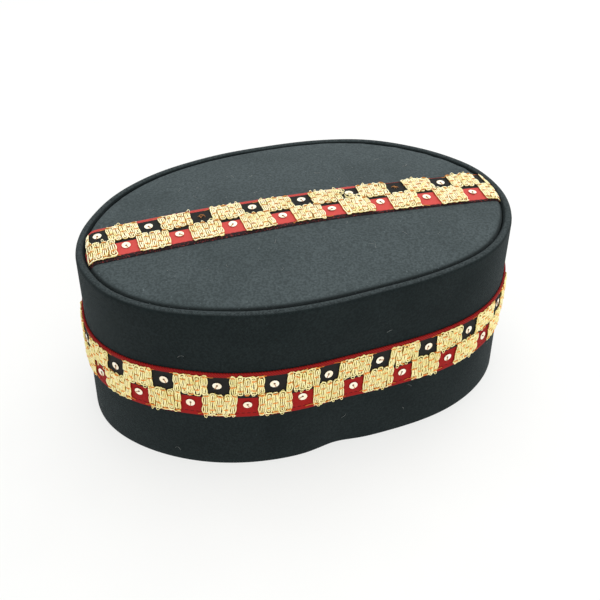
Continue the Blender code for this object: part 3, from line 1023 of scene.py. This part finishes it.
# %% Cut the sequins
SEQUIN_DIAMETER, SEQUIN_LIFT = 4.1 * MM, 0.32 * MM
SEQUIN_STITCH, KNOT, KNOT_RING = 0.16 * MM, 0.22 * MM, 0.26 * MM
UPPER_SEQUINS, LOWER_SEQUINS = 6.4 * MM, -5.3 * MM

# Share of the radius and height in millimetres, from the rim over the cup to the hole and back.
SEQUIN_FACE = ((1.0, 0.26), (0.86, 0.20), (0.62, 0.10), (0.34, 0.05), (0.19, 0.05))
SEQUIN_BACK = ((0.19, -0.06), (0.6, -0.02), (1.0, 0.16))
SEQUIN_SECTION = np.array(SEQUIN_FACE + SEQUIN_BACK)


def sequins(places, rng):
    """Cupped discs with a hole, lying a little askew on the flat ribbon."""
    radius = SEQUIN_DIAMETER / 2
    turn = np.linspace(0, 2 * math.pi, 22, endpoint=False)[:, None]
    discs = []
    for along, across in places:
        x = radius * SEQUIN_SECTION[:, 0] * np.cos(turn)
        y = radius * SEQUIN_SECTION[:, 0] * np.sin(turn)
        tilt_x, tilt_y = rng.normal(0, 0.05, 2)
        out = GROUND + SEQUIN_LIFT + SEQUIN_SECTION[:, 1] * MM + tilt_x * x + tilt_y * y
        discs.append(np.stack([along + x, across + y, out + 0 * turn], axis=-1))
    return np.array(discs)


# %% Stitch them down
def sequin_stitches(places, rng):
    """One stitch from each sequin's hole over its edge."""
    found = []
    for along, across in places:
        way = math.radians(-90 + rng.normal(0, 28))
        reach = SEQUIN_DIAMETER / 2 * np.array([-0.06, -0.02, 0.10, 0.35, 0.65, 0.95, 1.12])
        rise = np.array([0.05, 0.38, 0.50, 0.56, 0.64, 0.66, 0.15]) * MM
        x, y = along + reach * math.cos(way), across + reach * math.sin(way)
        found.append(np.stack([x, y, GROUND + rise], 1))
    return np.array(found)


def sequin_knots(places):
    """The knot that fills each sequin's hole, as a small closed path; its thread is painted darker,
    as shade in the hole.
    """
    turn = np.linspace(0, 2 * math.pi, 8, endpoint=False)
    ring = np.stack([np.cos(turn), np.sin(turn), 0 * turn], 1) * KNOT_RING
    return np.array([ring + (along, across, GROUND + 0.42 * MM) for along, across in places])


def sew_sequins(name, places, off, lay, node, seed):
    """Sequins with their knots and stitches, each a little off its place."""
    rng = np.random.default_rng(seed)
    places = np.array(places) + rng.normal(0, 1, (len(places), 2)).clip(-1.5, 1.5) * off
    corners, faces = skin(sequins(places, rng), closed=True)
    stitches, knots = sequin_stitches(places, rng), sequin_knots(places)
    sewn = f"{name}_sequin_stitches"
    pieces = [
        add_piece(f"{name}_sequins", lay(corners), faces, pearl_finish),
        add_threads(sewn, stitches, SEQUIN_STITCH, 5, False, lay, brown_finish),
        add_threads(f"{name}_sequin_knots", knots, KNOT, 5, True, lay, knot_finish),
    ]
    for made in pieces:
        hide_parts(node)


# %% [markdown]
# One square on top is half hidden by gold thread that has worked loose, and two have lost their
# sequins, with only the ends of their stitches left. A few circles and short curves, thrown
# down at random within the square, are enough to tell that.

# %% Turn a small shape
def turned(x, y, way, at):
    """Flat places of a small shape turned by an angle and moved to a place."""
    along = at[0] + x * math.cos(way) - y * math.sin(way)
    across = at[1] + x * math.sin(way) + y * math.cos(way)
    return along, across


# %% Heap loose thread
def tangle(count, middle, spread, rng):
    """Closed loops of thin thread lying in a heap, as flat paths."""
    turn = np.linspace(0, 2 * math.pi, 18, endpoint=False)
    found = []
    for _ in range(count):
        wide, tall = rng.uniform(0.7, 2.2, 2) * MM
        tilt, ripple = rng.uniform(0, math.pi), rng.uniform(0, 6)
        x = wide * np.cos(turn) * (1 + 0.15 * np.sin(3 * turn + ripple))
        y = tall * np.sin(turn)
        along, across = turned(x, y, tilt, middle + rng.normal(0, 1, 2) * spread)
        out = GROUND + rng.uniform(0.5, 1.1) * MM + 0.3 * MM * np.sin(turn + ripple)
        found.append(np.stack([along, across, out], 1))
    return np.array(found)


# %% Tear some stitches
def torn(middle, rng):
    """Short crossing ends of thread left in a square, as flat paths."""
    step = np.linspace(-1, 1, 9)
    found = []
    for _ in range(4):
        way, reach = rng.uniform(0, math.pi), rng.uniform(0.8, 1.8) * MM
        bend = rng.normal(0, 0.4) * MM * (1 - step**2)
        along, across = turned(reach * step, bend, way, middle)
        astray = rng.normal(0, 0.5) * MM, rng.normal(0, 0.3) * MM
        out = GROUND + 0.15 * MM + 0.55 * MM * (1 - step**2)
        found.append(np.stack([along + astray[0], across + astray[1], out], 1))
    return found


# %% Find the middles of squares
def squares(upper, lower, phase, repeat):
    """Flat middles of the squares with these numbers in the upper and the lower row."""
    middles = [((k + phase) * repeat, UPPER_SEQUINS) for k in upper]
    return middles + [((k + 0.5 + phase) * repeat, LOWER_SEQUINS) for k in lower]


# %% Throw them down
BARE_TOP_SQUARES = (-2, 2)
LOOSE_TOP_SQUARES = (1,)
loose_middle = np.array(squares(LOOSE_TOP_SQUARES, (), TOP_PHASE, REPEAT)[0])
rng = np.random.default_rng(12)
heap = np.concatenate(
    [
        tangle(10, loose_middle + np.array([0.5, -3.5]) * MM, np.array([2.4, 1.0]) * MM, rng),
        tangle(6, loose_middle + np.array([-4.5, 2.5]) * MM, np.array([1.2, 1.4]) * MM, rng),
    ]
)
loose_gold = add_threads("top_loose_gold", heap, LOOSE_STRAND, 5, True, on_panel, top_gold_finish)
bare_middles = squares(BARE_TOP_SQUARES, (), TOP_PHASE, REPEAT)
ends = np.array([end for middle in bare_middles for end in torn(middle, rng)])
torn_ends = add_threads("top_torn_stitches", ends, SEQUIN_STITCH, 5, False, on_panel, brown_finish)

# %% Sew the sequins
TOP_SQUARES = range(-4, 4)
upper_squares = [k for k in TOP_SQUARES if k not in BARE_TOP_SQUARES]
every_square = range(SIDE_REPEATS)
side_places = squares(every_square, every_square, SIDE_PHASE, SIDE_REPEAT)
top_places = squares(upper_squares, TOP_SQUARES, TOP_PHASE, REPEAT)
sew_sequins("side", side_places, 0.45 * MM, on_wall, "side_ribbon", 5)
sew_sequins("top", top_places, 0.3 * MM, on_panel, "top_ribbon", 6)

# %% [markdown]
# Black cloth collects lint. A few dozen pale hairs, thinner than sewing thread and one to three
# millimetres long, lie here and there on the panel and the wall. They are real geometry too,
# because a hair drawn by a texture would either blur or repeat.

# %% Curl some hairs
HAIR, PANEL_HAIRS, WALL_HAIRS = 0.05 * MM, 20, 14
LINT_REACH = 0.68


def hairs(count, low, high, rng):
    """Short curled hairs scattered between two corners of a flat region."""
    step = np.linspace(-1, 1, 9)
    found = []
    for _ in range(count):
        at = rng.uniform(low, high)
        way, half, curl = rng.uniform(0, math.pi), rng.uniform(0.3, 1.7) * MM, rng.normal(0, 0.5)
        bend = curl * half * (step**2 + 0.5 * step**3)
        along, across = turned(half * step, bend, way, at)
        found.append(np.stack([along, across, HAIR + 0.10 * MM * step**2], 1))
    return np.array(found)


# %% Scatter the hairs
lint_finish = dyed_thread("lint", (0.30, 0.31, 0.29), (0.16, 0.17, 0.16))
rng = np.random.default_rng(21)
half_length, half_width = LINT_REACH * PANEL_LENGTH, LINT_REACH * PANEL_WIDTH
beside = HALF_RIBBON + 3 * MM
back_hairs = hairs(PANEL_HAIRS, (-half_length, beside), (half_length, half_width), rng)
front_hairs = hairs(PANEL_HAIRS, (-half_length, -half_width), (half_length, -beside), rng)
above_ribbon = (HALF_RIBBON + 2 * MM, LIP_BASE - RIBBON_HEIGHT - 6 * MM)
below_ribbon = (3 * MM - RIBBON_HEIGHT, -HALF_RIBBON - 2 * MM)
bands = (above_ribbon, below_ribbon)
panel_lint = np.concatenate([back_hairs, front_hairs])
wall_hairs = [hairs(WALL_HAIRS, (0, low), (AROUND, high), rng) for low, high in bands]
wall_lint = np.concatenate(wall_hairs)
add_threads("panel_lint", panel_lint, HAIR, 4, False, on_panel, lint_finish)
add_threads("wall_lint", wall_lint, HAIR, 4, False, on_wall, lint_finish)

# %% [markdown]
# Last comes the stage: a plain pale floor, soft light, and a camera where the photographer
# stood. The camera looks at a point inside the hat from above its dented side. A soft light
# overhead and behind lights the top and leaves the wall nearly black, though much of the top's
# pale bloom is painted into the panel's colour, and a weaker one in front keeps the gold bright.
# The floor glows a little, though it is no lamp: painted light, like the lit paper sweep of a
# photographer's table, which is why the hat's shadow on it is so faint.

# %% Floor
def pale_floor():
    """Matt paper that gives off a little painted light of its own."""
    fixed = {
        "Specular IOR Level": 0.1,
        "Emission Color": (1.0, 1.0, 0.985, 1),
        "Emission Strength": 0.70,
    }
    floor = Finish("pale_floor", fixed)
    grain = floor.noise(0.05, detail=3)
    floor.feed(
        Base_Color=floor.mix(grain, (0.200, 0.200, 0.196, 1), (0.225, 0.225, 0.220, 1)),
        Roughness=0.7 + grain * 0.1,
    )
    return floor.material


bpy.ops.mesh.primitive_plane_add(size=8)
floor = bpy.context.object
floor.name = "floor"
floor.data.materials.append(pale_floor())

# %% Room
world = bpy.data.worlds.new("soft_room")
world.use_nodes = True
world.node_tree.nodes["Background"].inputs["Color"].default_value = (0.96, 0.98, 1.0, 1)
world.node_tree.nodes["Background"].inputs["Strength"].default_value = 1.0
bpy.context.scene.world = world
bpy.context.scene.view_settings.view_transform = "Standard"

# %% Lamps
HAT_CENTRE = (0, 0, 0.05)


def soft_light(name, place, size, watts):
    """A round lamp that faces the hat."""
    light = bpy.data.lights.new(name, "AREA")
    light.shape = "DISK"
    light.size = size
    light.energy = watts
    lamp = bpy.data.objects.new(name, light)
    lamp.location = place
    away = lamp.location - Vector(HAT_CENTRE)
    lamp.rotation_euler = away.to_track_quat("Z", "Y").to_euler()
    bpy.context.scene.collection.objects.link(lamp)


soft_light("overhead", place=(0.15, 0.25, 1.1), size=0.9, watts=6)
soft_light("behind_right", place=(0.9, 0.6, 0.7), size=0.6, watts=2.5)
soft_light("in_front", place=(0.1, -1.0, 0.35), size=0.8, watts=3.4)

# %% Camera
AZIMUTH, ELEVATION, ROLL = math.radians(-17.5), math.radians(38.37), math.radians(0.87)
DISTANCE = 459 * MM
AIM_RIGHT, AIM_UP = 1.35 * MM, 41.4 * MM
FOCAL_PIXELS, PICTURE_PIXELS, SENSOR = 873.2, 600, 36.0

level = math.cos(ELEVATION)
away = Vector((math.sin(AZIMUTH) * level, -math.cos(AZIMUTH) * level, math.sin(ELEVATION)))
right = Vector((math.cos(AZIMUTH), math.sin(AZIMUTH), 0))
aim = right * AIM_RIGHT + Vector((MIDDLE[0], MIDDLE[1], AIM_UP))
lens = bpy.data.cameras.new("photographer")
lens.sensor_width = SENSOR
lens.lens = FOCAL_PIXELS / PICTURE_PIXELS * SENSOR
lens.clip_start = 0.01
camera = bpy.data.objects.new("photographer", lens)
camera.rotation_mode = "QUATERNION"
roll = Matrix.Rotation(ROLL, 3, "Z")
up = away.cross(right)
upright = Matrix((right, up, away)).transposed()
camera.matrix_world = Matrix.Translation(aim + away * DISTANCE) @ (upright @ roll).to_4x4()
bpy.context.scene.collection.objects.link(camera)
bpy.context.scene.camera = camera
